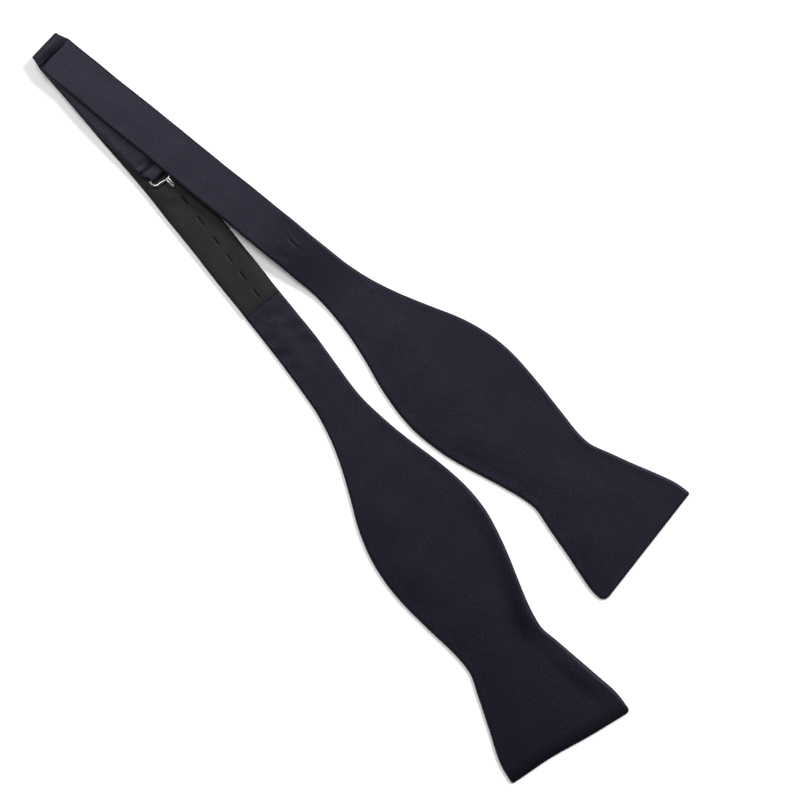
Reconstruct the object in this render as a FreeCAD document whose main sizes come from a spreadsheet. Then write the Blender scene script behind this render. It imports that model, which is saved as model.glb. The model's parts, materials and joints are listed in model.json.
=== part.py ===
import FreeCAD, Part
import math
import os
import Sketcher
from FreeCAD import Placement, Rotation, Vector

# An adjustable self-tie bow tie, untied and laid flat, in millimetres.
# +X runs from the folded neck end to the blades, +Y across the halves and +Z up.
# The origin is at the middle of the footprint, on the surface that the tie lies on.
# The long half lies on that surface. A metal hook, turned crosswise under the long
# half's slotted tape, holds the narrow extension band, which runs back over the tape,
# folds over at the neck end and is sewn to the short half at the centre-back seam.
# Distances along a half are counted back from its blade's end edge.

doc = FreeCAD.newDocument("BowTie")
sheet = doc.addObject("Spreadsheet::Sheet", "Sizes")

SIZES = [
    # alias, value, what it is
    ("end_width", 75.5, "blade's end edge, corner to corner"),
    ("flare_top_from_end", 14.0, "where the flare's straight side starts"),
    ("flare_top_width", 72.6, "width there"),
    ("flare_bottom_from_end", 50.0, "where the flare's straight side stops"),
    ("flare_bottom_width", 52.2, "width there"),
    ("waist_from_end", 62.5, "the waist, where the blade folds when tied"),
    ("waist_width", 46.2, "width at the waist"),
    ("rise_from_end", 83.5, "a point on the side between waist and belly"),
    ("rise_width", 52.5, "width there"),
    ("rise_slope", 0.215, "how fast each side leaves the centreline there"),
    ("belly_from_end", 132.5, "the widest place of the blade"),
    ("belly_width", 67.7, "width there"),
    ("taper_from_end", 175.0, "a point on the side between belly and band"),
    ("taper_width", 49.4, "width there"),
    ("taper_slope", 0.365, "how fast each side closes in there"),
    ("band_from_end", 232.0, "where the blade has become the neck band"),
    ("band_width", 24.3, "neck band's width at the blade"),
    ("neck_end_width", 22.8, "neck band's width at its far end"),
    ("short_end_x", 183.5, "middle of the short half's end edge"),
    ("short_end_y", 52.3, "middle of the short half's end edge"),
    ("short_end_skew", -2.2, "degrees that the end edge leans from square"),
    ("short_left_corner", 1.2, "rounding of the end edge's left corner"),
    ("short_right_corner", 4.2, "rounding of the end edge's right corner"),
    ("short_blade_heading", 6.15, "degrees from +X, end to band"),
    ("short_band_heading", 7.3, "degrees from +X, band to seam"),
    ("short_length", 419.5, "end edge to centre-back seam"),
    ("long_end_x", 230.8, "middle of the long half's end edge"),
    ("long_end_y", -52.3, "middle of the long half's end edge"),
    ("long_end_skew", 2.4, "degrees that the end edge leans from square"),
    ("long_left_corner", 2.6, "rounding of the end edge's left corner"),
    ("long_right_corner", 1.2, "rounding of the end edge's right corner"),
    ("long_tip_extra", 3.1, "how much further out the long half's end edge lies"),
    ("long_blade_length", 206.8, "straight run with the blade"),
    ("long_blade_heading", -9.5, "degrees from +X"),
    ("long_root_length", 52.4, "run behind the blade"),
    ("long_root_heading", -7.8, "degrees from +X"),
    ("long_tape_length", 120.5, "run with the visible tape"),
    ("long_tape_heading", -5.0, "degrees from +X"),
    ("long_neck_length", 86.5, "last run, under the extension"),
    ("long_neck_heading", -2.8, "degrees from +X"),
    ("cloth_sheet", 0.5, "one layer of satin"),
    ("cloth_core", 1.2, "interlining"),
    ("seam_allowance", 3.0, "turned-in edge that the interlining stops at"),
    ("band_level", 6.8, "underside of the short half where it lies over the hook"),
    ("drape_start", 276.0, "from the end edge, where the short half starts down"),
    ("drape_stop", 206.0, "from the end edge, where the short half meets the surface"),
    ("tape_start", 291.7, "tape's lower end, from the long half's end edge"),
    ("tape_length", 158.0, "slotted tape"),
    ("tape_width", 22.6, "slotted tape"),
    ("tape_sheet", 0.4, "slotted tape's thickness"),
    ("tape_pocket_width", 17.0, "open space under the tape, between its hems"),
    ("tape_pocket_height", 1.3, "open space under the tape"),
    ("slit_length", 6.8, "slit along the tape"),
    ("slit_width", 0.35, "slit along the tape"),
    ("slit_first", 7.0, "tape's lower end to the middle of the first slit"),
    ("slit_first_offset", 1.15, "middle of the first slit, left of the tape's centreline"),
    ("slit_close_pitch", 11.9, "between the lower slits"),
    ("slit_wide_pitch", 13.85, "between the upper slits"),
    ("slit_close_count", 4, "slits at the close pitch"),
    ("slit_wide_count", 7, "slits at the wide pitch"),
    ("slit_eye_radius", 1.1, "how far the slit in use opens round the stem"),
    ("bar_x", -147.2, "hook's inner bar"),
    ("bar_y", 1.6, "hook's inner bar"),
    ("bar_z", 5.35, "hook's inner bar"),
    ("bar_radius", 0.4, "hook's inner bar"),
    ("hook_width", 18.0, "hook across its arms"),
    ("hook_metal", 0.8, "hook's plate thickness"),
    ("hook_arm_width", 1.6, "hook's side arm"),
    ("hook_outer_bar", 2.0, "hook's outer bar, along the tie"),
    ("hook_outer_reach", 5.1, "inner bar's axis to the outer bar's far edge"),
    ("hook_corner_radius", 2.5, "hook's outer corners"),
    ("hook_crown", 0.9, "how far the outer bar's middle stands out"),
    ("tongue_width", 2.6, "hook's tongue"),
    ("stem_reach", 9.8, "inner bar's axis to the stem's axis"),
    ("stem_radius", 0.8, "hook's stem, which goes through the slit"),
    ("head_length", 6.2, "hook's crosswise head, under the tape"),
    ("head_width", 2.2, "hook's crosswise head"),
    ("head_thickness", 0.4, "hook's crosswise head"),
    ("ply", 0.7, "extension's cloth where it loops round the bar"),
    ("loop_gap", 0.1, "between the bar and the loop"),
    ("loop_width", 14.2, "loop, between the hook's arms"),
    ("loop_length", 5.5, "bar's axis to the extension's full width"),
    ("extension_width", 18.8, "extension at the hook"),
    ("extension_full_width", 22.8, "extension midway between hook and fold"),
    ("fold_width", 19.0, "extension at its fold"),
    ("fold_x", -238.9, "fold's axis"),
    ("fold_y", 3.2, "fold's axis"),
    ("stitch_length", 1.8, "one stitch"),
    ("stitch_pitch", 3.2, "stitch to stitch"),
    ("stitch_width", 0.3, "one stitch"),
    ("stitch_height", 0.15, "one stitch"),
    ("stitch_margin", 1.1, "edge to stitch line"),
]

for row, (alias, value, meaning) in enumerate(SIZES, start=1):
    sheet.set(f"A{row}", alias)
    sheet.set(f"B{row}", str(value))
    sheet.set(f"C{row}", meaning)
    sheet.setAlias(f"B{row}", alias)
doc.recompute()
size = {alias: float(sheet.get(alias)) for alias, value, meaning in SIZES}

cloth = "Sizes.cloth_sheet * 2 + Sizes.cloth_core"
head_clearance = "(Sizes.tape_pocket_height - Sizes.head_thickness) / 2"
cloth_thickness = 2 * size["cloth_sheet"] + size["cloth_core"]
tape_top = cloth_thickness + size["tape_pocket_height"] + size["tape_sheet"]
band_middle = size["band_level"] + cloth_thickness / 2
fold_z = (size["bar_z"] + band_middle) / 2
LEFT, RIGHT = 1, -1
nodes = []


# Directions and places on the surface ---------------------------------------------

def direction(heading):
    return Vector(math.cos(math.radians(heading)), math.sin(math.radians(heading)), 0)


def square_to(heading):
    return direction(heading + 90)


short_path = {
    "end": Vector(size["short_end_x"], size["short_end_y"], 0),
    "skew": size["short_end_skew"],
    "corners": {LEFT: size["short_left_corner"], RIGHT: size["short_right_corner"]},
    "tip_extra": 0.0,
    "runs": [
        (size["band_from_end"], size["short_blade_heading"]),
        (size["short_length"] - size["band_from_end"], size["short_band_heading"]),
    ],
}
long_path = {
    "end": Vector(size["long_end_x"], size["long_end_y"], 0),
    "skew": size["long_end_skew"],
    "corners": {LEFT: size["long_left_corner"], RIGHT: size["long_right_corner"]},
    "tip_extra": size["long_tip_extra"],
    "runs": [
        (size["long_blade_length"], size["long_blade_heading"]),
        (size["long_root_length"], size["long_root_heading"]),
        (size["long_tape_length"], size["long_tape_heading"]),
        (size["long_neck_length"], size["long_neck_heading"]),
    ],
}
for path in (short_path, long_path):
    path["length"] = sum(length for length, heading in path["runs"])


def place_on(path, distance, offset=0.0):
    """The point and heading at a distance back from the end edge, offset to the left."""
    point = path["end"]
    left_to_go = distance
    for length, heading in path["runs"]:
        step = min(left_to_go, length)
        point = point - direction(heading) * step
        left_to_go -= step
        if left_to_go <= 0:
            break
    lean = math.tan(math.radians(path["skew"])) * max(0.0, 1 - distance / size["waist_from_end"])
    point = point + square_to(heading) * offset + direction(heading) * offset * lean
    return point, heading


def place_beside(path, point):
    """Distance back from the end edge, and offset to the left, of a point."""
    corner = path["end"]
    passed = 0.0
    for length, heading in path["runs"]:
        along = (corner - point).dot(direction(heading))
        if along <= length:
            break
        corner = corner - direction(heading) * length
        passed += length
    return passed + along, (point - corner).dot(square_to(heading))


def bends_between(path, start, stop):
    """Distances of the centreline's bends that lie between two distances."""
    bends = []
    distance = 0.0
    for length, heading in path["runs"]:
        distance += length
        if start < distance < stop:
            bends.append(distance)
    return bends


# Outlines of the halves ------------------------------------------------------------

def flare_slope():
    fall = (size["flare_top_width"] - size["flare_bottom_width"]) / 2
    return fall / (size["flare_bottom_from_end"] - size["flare_top_from_end"])


def tip_stations(corner):
    """Distance, half width and slope of the side at each named place of the tip."""
    return [
        (corner, size["end_width"] / 2, 0.0),
        (size["flare_top_from_end"], size["flare_top_width"] / 2, -flare_slope()),
        (size["flare_bottom_from_end"], size["flare_bottom_width"] / 2, -flare_slope()),
        (size["waist_from_end"], size["waist_width"] / 2, 0.0),
    ]


def blade_stations():
    """The same from the waist to the neck band."""
    return [
        (size["waist_from_end"], size["waist_width"] / 2, 0.0),
        (size["rise_from_end"], size["rise_width"] / 2, size["rise_slope"]),
        (size["belly_from_end"], size["belly_width"] / 2, 0.0),
        (size["taper_from_end"], size["taper_width"] / 2, -size["taper_slope"]),
        (size["band_from_end"], size["band_width"] / 2, 0.0),
    ]


def side_curves(path, stations, side, inset):
    """Bezier spans through the stations, each tangent to the station's slope."""
    curves = []
    for (start, start_half, start_slope), (stop, stop_half, stop_slope) in zip(stations, stations[1:]):
        third = (stop - start) / 3
        poles = [
            (start, start_half),
            (start + third, start_half + start_slope * third),
            (stop - third, stop_half - stop_slope * third),
            (stop, stop_half),
        ]
        curve = Part.BezierCurve()
        curve.setPoles([place_on(path, d, side * (half - inset))[0] for d, half in poles])
        curves.append(curve.toShape())
    return curves


def polyline(points):
    return [Part.makeLine(a, b) for a, b in zip(points, points[1:])]


def tip_face(path, inset):
    """The flared tip, from the end edge to the waist."""
    half = size["end_width"] / 2 - inset
    end = inset - path["tip_extra"]
    edges = []
    end_points = []
    for side, radius in path["corners"].items():
        cut = radius * (1 - math.sqrt(0.5))
        edges += side_curves(path, tip_stations(end + radius), side, inset)
        on_side = place_on(path, end + radius, side * half)[0]
        middle = place_on(path, end + cut, side * (half - cut))[0]
        on_end = place_on(path, end, side * (half - radius))[0]
        edges.append(Part.Arc(on_side, middle, on_end).toShape())
        end_points.append(on_end)
    edges.append(Part.makeLine(end_points[0], end_points[1]))
    waist_half = size["waist_width"] / 2 - inset
    edges += polyline([place_on(path, size["waist_from_end"], s * waist_half)[0] for s in (LEFT, RIGHT)])
    return Part.Face(Part.Wire(Part.__sortEdges__(edges)))


def band_half_width(path, distance):
    share = (distance - size["band_from_end"]) / (path["length"] - size["band_from_end"])
    return (size["band_width"] + (size["neck_end_width"] - size["band_width"]) * share) / 2


def blade_face(path, inset):
    """Blade and neck band, from the waist to the half's far end."""
    far = path["length"] - inset
    stops = [size["band_from_end"]] + bends_between(path, size["band_from_end"], far) + [far]
    edges = []
    corners = []
    for side in (LEFT, RIGHT):
        edges += side_curves(path, blade_stations(), side, inset)
        points = [place_on(path, d, side * (band_half_width(path, d) - inset))[0] for d in stops]
        edges += polyline(points)
        corners.append(points[-1])
    edges.append(Part.makeLine(corners[0], corners[1]))
    waist_half = size["waist_width"] / 2 - inset
    edges += polyline([place_on(path, size["waist_from_end"], s * waist_half)[0] for s in (LEFT, RIGHT)])
    return Part.Face(Part.Wire(Part.__sortEdges__(edges)))


def strip_face(path, start, stop, width):
    """A strip of even width that follows a centreline."""
    stops = [start] + bends_between(path, start, stop) + [stop]
    left = [place_on(path, d, width / 2)[0] for d in stops]
    right = [place_on(path, d, -width / 2)[0] for d in reversed(stops)]
    return Part.Face(Part.makePolygon(left + right + left[:1]))


# Document objects -------------------------------------------------------------------

def outline(name, face):
    feature = doc.addObject("Part::Feature", name)
    feature.Shape = face
    return feature


def prism(name, base, bottom, height):
    """An outline raised from a level by a height, both given as expressions."""
    solid = doc.addObject("Part::Extrusion", name)
    solid.Base = base
    solid.DirMode = "Custom"
    solid.Dir = Vector(0, 0, 1)
    solid.Solid = True
    solid.setExpression("LengthFwd", height)
    solid.setExpression(".Placement.Base.z", bottom)
    return solid


def boolean(kind, name, base, tool):
    result = doc.addObject(kind, name)
    result.Base = base
    result.Tool = tool
    return result


def as_node(feature, label):
    feature.Label = label
    nodes.append(feature)
    return feature


def box(name, length, width, height):
    """A box with its sizes given as expressions."""
    solid = doc.addObject("Part::Box", name)
    solid.setExpression("Length", length)
    solid.setExpression("Width", width)
    solid.setExpression("Height", height)
    return solid


def stitches(label, marks, level):
    """Separate stitches, one at each (point, heading), lying on a level."""
    length, width = size["stitch_length"], size["stitch_width"]
    bars = []
    for point, heading in marks:
        corner = Vector(-length / 2, -width / 2, 0)
        bar = Part.makeBox(length, width, size["stitch_height"], corner)
        bar.Placement = Placement(point + Vector(0, 0, level), Rotation(Vector(0, 0, 1), heading))
        bars.append(bar)
    feature = doc.addObject("Part::Feature", label)
    feature.Shape = Part.makeCompound(bars)
    return as_node(feature, label)


def row_between(start, stop, heading):
    """Stitch marks spread evenly from one point to another."""
    count = max(2, round((stop - start).Length / size["stitch_pitch"]))
    return [(start + (stop - start) * ((i + 0.5) / count), heading) for i in range(count)]


# The halves --------------------------------------------------------------------------

def flat_shells(prefix, path_name, make_face, path):
    """Back layer, interlining and tray-shaped front layer of a piece that lies flat."""
    whole = outline(f"{path_name}Outline", make_face(path, 0.0))
    inner = outline(f"{path_name}CoreOutline", make_face(path, size["seam_allowance"]))
    as_node(prism(f"{path_name}Back", whole, "0", "Sizes.cloth_sheet"), f"{prefix}_back_shell")
    core = prism(f"{path_name}Core", inner, "Sizes.cloth_sheet", "Sizes.cloth_core")
    upper = prism(f"{path_name}Upper", whole, "Sizes.cloth_sheet", "Sizes.cloth_sheet + Sizes.cloth_core")
    front = boolean("Part::Cut", f"{path_name}Front", upper, core)
    as_node(core, f"{prefix}_interlining")
    as_node(front, f"{prefix}_front_shell")


def drape_slab(name, low, high):
    """The space between two depths of the short half's cloth, seen from the side and
    drawn across it: level over the hook, then an even descent to the surface. It runs
    past the seam and past the waist, where the half's outline trims it."""
    start, stop = -size["drape_start"], -size["drape_stop"]
    far, near = -size["short_length"] - size["band_width"], -size["flare_bottom_from_end"]
    bend = (stop - start) / 2
    raised = size["band_level"]

    def edge(depth):
        fall = Part.BezierCurve()
        fall.setPoles([
            Vector(start, 0, raised + depth),
            Vector(start + bend, 0, raised + depth),
            Vector(stop - bend, 0, depth),
            Vector(stop, 0, depth),
        ])
        level = Part.makeLine(Vector(far, 0, raised + depth), Vector(start, 0, raised + depth))
        lying = Part.makeLine(Vector(stop, 0, depth), Vector(near, 0, depth))
        return [level, fall.toShape(), lying]

    sides = [Part.makeLine(Vector(x, 0, lift + low), Vector(x, 0, lift + high))
             for x, lift in ((far, raised), (near, 0.0))]
    wire = Part.Wire(Part.__sortEdges__(edge(low) + edge(high) + sides))
    profile = outline(f"{name}Profile", Part.Face(wire))
    slab = doc.addObject("Part::Extrusion", name)
    slab.Base = profile
    slab.DirMode = "Custom"
    slab.Dir = Vector(0, 1, 0)
    slab.Solid = True
    slab.Symmetric = True
    slab.setExpression("LengthFwd", "Sizes.end_width * 2")
    slab.Placement = Placement(short_path["end"], Rotation(Vector(0, 0, 1), size["short_blade_heading"]))
    return slab


def draped_shells():
    """The short half's blade and band, which pass over the hook and lie down beyond it."""
    sheet_depth = size["cloth_sheet"]
    core_depth = size["cloth_sheet"] + size["cloth_core"]
    whole = outline("ShortOutline", blade_face(short_path, 0.0))
    inner = outline("ShortCoreOutline", blade_face(short_path, size["seam_allowance"]))
    tall = f"Sizes.band_level + {cloth}"
    back_prism = prism("ShortBackPrism", whole, "0", tall)
    back_slab = drape_slab("ShortBackSlab", 0.0, sheet_depth)
    as_node(boolean("Part::Common", "ShortBack", back_prism, back_slab), "short_back_shell")
    core_prism = prism("ShortCorePrism", inner, "0", tall)
    core_slab = drape_slab("ShortCoreSlab", sheet_depth, core_depth)
    core = as_node(boolean("Part::Common", "ShortCore", core_prism, core_slab), "short_interlining")
    upper_slab = drape_slab("ShortUpperSlab", sheet_depth, cloth_thickness)
    upper = boolean("Part::Common", "ShortUpper", back_prism, upper_slab)
    as_node(boolean("Part::Cut", "ShortFront", upper, core), "short_front_shell")


# The slotted tape ----------------------------------------------------------------------

def slit_distances():
    """Middles of the slits, from the tape's lower end."""
    distances = [size["slit_first"]]
    for i in range(int(size["slit_close_count"]) - 1):
        distances.append(distances[-1] + size["slit_close_pitch"])
    for i in range(int(size["slit_wide_count"])):
        distances.append(distances[-1] + size["slit_wide_pitch"])
    return distances


def slit_place(distance):
    """Middle and heading of the slit at a distance from the tape's lower end. The row
    leans from the centreline, as far as the hook's stem, and then keeps level with it."""
    stem_distance, stem_offset = place_beside(long_path, stem_place())
    lean_length = stem_distance - size["tape_start"] - size["slit_first"]
    share = min(1.0, (distance - size["slit_first"]) / lean_length)
    lean = stem_offset - size["slit_first_offset"]
    offset = size["slit_first_offset"] + lean * share
    point, heading = place_on(long_path, size["tape_start"] + distance, offset)
    turn = math.degrees(math.atan2(lean, lean_length)) if share < 1 else 0.0
    return point, heading - turn


def slotted_tape():
    """A tape sewn down along its edges and ends, open beneath, with slits along its middle."""
    start, stop = size["tape_start"], size["tape_start"] + size["tape_length"]
    hem = (size["tape_width"] - size["tape_pocket_width"]) / 2
    whole = outline("TapeOutline", strip_face(long_path, start, stop, size["tape_width"]))
    inner = outline("TapePocketOutline",
                    strip_face(long_path, start + hem, stop - hem, size["tape_pocket_width"]))
    plate = prism("TapePlate", whole, cloth, "Sizes.tape_pocket_height + Sizes.tape_sheet")
    pocket = prism("TapePocket", inner, cloth, "Sizes.tape_pocket_height")
    open_tape = boolean("Part::Cut", "TapeOpen", plate, pocket)
    cutters = []
    for number, distance in enumerate(slit_distances()):
        point, heading = slit_place(distance)
        slit = box(f"Slit{number}", "Sizes.slit_length", "Sizes.slit_width",
                   "Sizes.tape_sheet + Sizes.tape_pocket_height")
        turn = Rotation(Vector(0, 0, 1), heading)
        corner = turn.multVec(Vector(-size["slit_length"] / 2, -size["slit_width"] / 2, 0))
        slit.Placement = Placement(point + corner + Vector(0, 0, tape_top - size["tape_sheet"]), turn)
        cutters.append(slit)
    eye = doc.addObject("Part::Cylinder", "SlitEye")
    eye.setExpression("Radius", "Sizes.slit_eye_radius")
    eye.setExpression("Height", "Sizes.tape_sheet + Sizes.tape_pocket_height")
    eye.Placement = Placement(stem_place() + Vector(0, 0, tape_top - size["tape_sheet"]), Rotation())
    cutters.append(eye)
    slits = doc.addObject("Part::MultiFuse", "Slits")
    slits.Shapes = cutters
    as_node(boolean("Part::Cut", "Tape", open_tape, slits), "slotted_tape")


def tape_stitching():
    """Two edge rows and a row across each end of the tape."""
    start = size["tape_start"] + size["stitch_margin"]
    stop = size["tape_start"] + size["tape_length"] - size["stitch_margin"]
    reach = size["tape_width"] / 2 - size["stitch_margin"]
    marks = []
    for side in (LEFT, RIGHT):
        count = round((stop - start) / size["stitch_pitch"])
        for i in range(count):
            distance = start + (stop - start) * (i + 0.5) / count
            marks.append(place_on(long_path, distance, side * reach))
    for distance in (start, stop):
        heading = place_on(long_path, distance)[1]
        left = place_on(long_path, distance, reach - size["stitch_pitch"])[0]
        right = place_on(long_path, distance, size["stitch_pitch"] - reach)[0]
        marks += row_between(left, right, heading + 90)
    stitches("tape_stitching", marks, tape_top)


# The hook and the extension -------------------------------------------------------------

def bar_place():
    return Vector(size["bar_x"], size["bar_y"], 0)


def fold_place():
    return Vector(size["fold_x"], size["fold_y"], 0)


def extension_heading():
    run = bar_place() - fold_place()
    return math.degrees(math.atan2(run.y, run.x))


def fold_heading():
    """The fold's axis lies so that the short half opens in line with the extension."""
    return (extension_heading() + size["short_band_heading"]) / 2 + 90


def stem_place():
    return bar_place() + direction(extension_heading()) * size["stem_reach"]


def origin_plane(body, role):
    return next(f for f in body.Origin.OriginFeatures if f.Role == role)


def sketch_on(body, role, name, geometry):
    sketch = body.newObject("Sketcher::SketchObject", name)
    sketch.AttachmentSupport = [(origin_plane(body, role), "")]
    sketch.MapMode = "FlatFace"
    for shape in geometry:
        sketch.addGeometry(shape, False)
    return sketch


def circle_sketch(body, role, name, centre, radius_alias):
    circle = Part.Circle(Vector(*centre, 0), Vector(0, 0, 1), size[radius_alias])
    sketch = sketch_on(body, role, name, [circle])
    from_axis = (("DistanceX", centre[0]), ("DistanceY", centre[1]))
    for kind, value in from_axis:
        sketch.addConstraint(Sketcher.Constraint(kind, -1, 1, 0, 3, value))
    radius = sketch.addConstraint(Sketcher.Constraint("Radius", 0, size[radius_alias]))
    sketch.setExpression(f"Constraints[{radius}]", f"Sizes.{radius_alias}")
    return sketch


def closed_lines(points):
    ends = points[1:] + points[:1]
    return [Part.LineSegment(Vector(*a, 0), Vector(*b, 0)) for a, b in zip(points, ends)]


def hook_plate_outline():
    """Arms, outer bar and tongue, with +x from the inner bar to the tongue."""
    half = size["hook_width"] / 2
    reach, corner = size["hook_outer_reach"], size["hook_corner_radius"]
    inner_half = half - size["hook_arm_width"]
    inner_edge = reach - size["hook_outer_bar"]
    tongue = size["tongue_width"] / 2
    crown = reach + size["hook_crown"]
    tip = size["stem_reach"]
    cut = corner * (1 - math.sqrt(0.5))
    lines = []
    for side in (LEFT, RIGHT):
        points = [(0, side * inner_half), (0, side * half), (reach - corner, side * half)]
        lines += [(points[0], points[1]), (points[1], points[2])]
        lines.append(((reach, side * (half - corner)), (crown, side * tongue)))
        lines.append(((crown, side * tongue), (tip, side * tongue)))
        lines.append(((0, side * inner_half), (inner_edge, side * inner_half)))
        lines.append(((inner_edge, side * inner_half), (inner_edge + size["hook_crown"], 0)))
    geometry = [Part.LineSegment(Vector(*a, 0), Vector(*b, 0)) for a, b in lines]
    for side in (LEFT, RIGHT):
        geometry.append(Part.Arc(
            Vector(reach - corner, side * half, 0),
            Vector(reach - cut, side * (half - cut), 0),
            Vector(reach, side * (half - corner), 0)))
    geometry.append(Part.Arc(
        Vector(tip, tongue, 0), Vector(tip + tongue, 0, 0), Vector(tip, -tongue, 0)))
    return geometry


def pad(body, name, sketch, length, midplane=False, reverse=False):
    feature = body.newObject("PartDesign::Pad", name)
    feature.Profile = sketch
    feature.Midplane = midplane
    feature.Reversed = reverse
    feature.setExpression("Length", length)
    return feature


def metal_hook():
    """A stamped plate with an inner bar for the cloth loop and a stem that ends in a
    crosswise head, its own origin in the middle of the inner bar."""
    body = doc.addObject("PartDesign::Body", "Hook")
    plate = sketch_on(body, "XY_Plane", "PlateSketch", hook_plate_outline())
    pad(body, "Plate", plate, "Sizes.hook_metal", midplane=True)
    bar = circle_sketch(body, "XZ_Plane", "BarSketch", (0, 0), "bar_radius")
    pad(body, "InnerBar", bar, "Sizes.hook_width", midplane=True)
    stem = circle_sketch(body, "XY_Plane", "StemSketch", (size["stem_reach"], 0), "stem_radius")
    pad(body, "Stem", stem, f"Sizes.bar_z - ({cloth}) - ({head_clearance})", reverse=True)
    half_length, half_width = size["head_length"] / 2, size["head_width"] / 2
    reach = size["stem_reach"]
    corners = [(reach - half_width, -half_length), (reach + half_width, -half_length),
               (reach + half_width, half_length), (reach - half_width, half_length)]
    head = sketch_on(body, "XY_Plane", "HeadSketch", closed_lines(corners))
    head.AttachmentOffset = Placement(Vector(0, 0, head_level() - size["bar_z"]), Rotation())
    pad(body, "Head", head, "Sizes.head_thickness")
    body.Placement = Placement(bar_place() + Vector(0, 0, size["bar_z"]),
                               Rotation(Vector(0, 0, 1), extension_heading()))
    return as_node(body, "hook")


def head_level():
    """Underside of the head, midway in the pocket under the tape."""
    return cloth_thickness + (size["tape_pocket_height"] - size["head_thickness"]) / 2


def bar_cylinder(name, radius, length_alias):
    """A cylinder round the axis of the hook's inner bar, centred along it."""
    solid = doc.addObject("Part::Cylinder", name)
    solid.setExpression("Radius", radius)
    solid.setExpression("Height", f"Sizes.{length_alias}")
    along_bar = square_to(extension_heading())
    end = bar_place() + Vector(0, 0, size["bar_z"]) - along_bar * (size[length_alias] / 2)
    solid.Placement = Placement(end, Rotation(Vector(0, 0, 1), along_bar))
    return solid


def extension_return():
    """The extension's lower run, from the fold to the loop round the hook's inner bar."""
    heading = extension_heading()
    across = square_to(heading)
    along_fold = direction(fold_heading())
    shoulder = bar_place() - direction(heading) * size["loop_length"]
    midway = (fold_place() + shoulder) / 2
    half, narrow = size["extension_width"] / 2, size["loop_width"] / 2
    full = size["extension_full_width"] / 2
    corners = [
        fold_place() + along_fold * (size["fold_width"] / 2),
        midway + across * full,
        shoulder + across * half,
        shoulder + across * narrow,
        bar_place() + across * narrow,
    ]
    mirrored = [
        bar_place() - across * narrow,
        shoulder - across * narrow,
        shoulder - across * half,
        midway - across * full,
        fold_place() - along_fold * (size["fold_width"] / 2),
    ]
    face = Part.Face(Part.makePolygon(corners + mirrored + corners[:1]))
    strip = prism("ReturnStrip", outline("ReturnOutline", face),
                  "Sizes.bar_z - Sizes.ply", "Sizes.ply * 2")
    loop_hole = "Sizes.bar_radius + Sizes.loop_gap"
    sleeve = bar_cylinder("LoopOutside", f"{loop_hole} + Sizes.ply", "loop_width")
    hole = bar_cylinder("LoopInside", loop_hole, "hook_width")
    solid = boolean("Part::Fuse", "ReturnSolid", strip, sleeve)
    as_node(boolean("Part::Cut", "Return", solid, hole), "extension_return")


def extension_fold():
    """The half turn of cloth at the neck end."""
    along_fold = direction(fold_heading())
    start = fold_place() - along_fold * (size["fold_width"] / 2)
    section = doc.addObject("Part::Cylinder", "FoldOutside")
    section.Angle = 180
    section.setExpression("Height", "Sizes.fold_width")
    inside = doc.addObject("Part::Cylinder", "FoldInside")
    inside.setExpression("Height", "Sizes.fold_width")
    half_gap = f"(Sizes.band_level + ({cloth}) / 2 - Sizes.bar_z) / 2"
    section.setExpression("Radius", f"{half_gap} + Sizes.ply")
    inside.setExpression("Radius", f"{half_gap} - Sizes.ply")
    # the half disc opens toward the neck end: its flat side is upright, over the axis
    away = direction(fold_heading() + 90)
    turn = Rotation(Vector(0, 0, -1), away, along_fold, "ZXY")
    for solid in (section, inside):
        solid.Placement = Placement(start + Vector(0, 0, fold_z), turn)
    as_node(boolean("Part::Cut", "Fold", section, inside), "extension_fold")


def extension_tab():
    """The extension's short upper run, from the fold to the centre-back seam."""
    along_fold = direction(fold_heading())
    seam, heading = place_on(short_path, size["short_length"])
    seam_half = (size["fold_width"] + size["neck_end_width"]) / 4
    points = [
        fold_place() + along_fold * (size["fold_width"] / 2),
        fold_place() - along_fold * (size["fold_width"] / 2),
        seam - square_to(heading) * seam_half,
        seam + square_to(heading) * seam_half,
    ]
    face = Part.Face(Part.makePolygon(points + points[:1]))
    base = outline("TabOutline", face)
    as_node(prism("Tab", base, f"Sizes.band_level + ({cloth}) / 2 - Sizes.ply", "Sizes.ply * 2"),
            "extension_tab")


def seam_stitching():
    """Hand stitches under the tab that close the short half's band over it."""
    seam, heading = place_on(short_path, size["short_length"])
    middle = seam - direction(heading) * size["stitch_margin"]
    reach = square_to(heading) * (size["fold_width"] / 2 - size["stitch_margin"])
    under = band_middle - size["ply"] - size["stitch_height"]
    stitches("centre_seam_stitching", row_between(middle - reach, middle + reach, heading), under)


def loop_stitching():
    """A row across the extension that closes the loop round the hook's bar."""
    heading = extension_heading()
    middle = bar_place() - direction(heading) * (size["loop_length"] + size["stitch_margin"])
    reach = square_to(heading) * (size["extension_width"] / 2 - size["stitch_margin"])
    marks = row_between(middle - reach, middle + reach, heading + 90)
    stitches("loop_stitching", marks, size["bar_z"] + size["ply"])


flat_shells("long", "Long", blade_face, long_path)
flat_shells("long_tip", "LongTip", tip_face, long_path)
slotted_tape()
tape_stitching()
metal_hook()
extension_return()
loop_stitching()
extension_fold()
extension_tab()
seam_stitching()
draped_shells()
flat_shells("short_tip", "ShortTip", tip_face, short_path)
doc.recompute()

# Checks and files ----------------------------------------------------------------------

for item in doc.Objects:
    if "Invalid" in item.State or "Error" in item.State:
        raise RuntimeError(f"{item.Name} did not build: {item.State}")
for node in nodes:
    if node.Shape.isNull() or not node.Shape.isValid():
        raise RuntimeError(f"{node.Label} has no valid shape")

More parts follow.
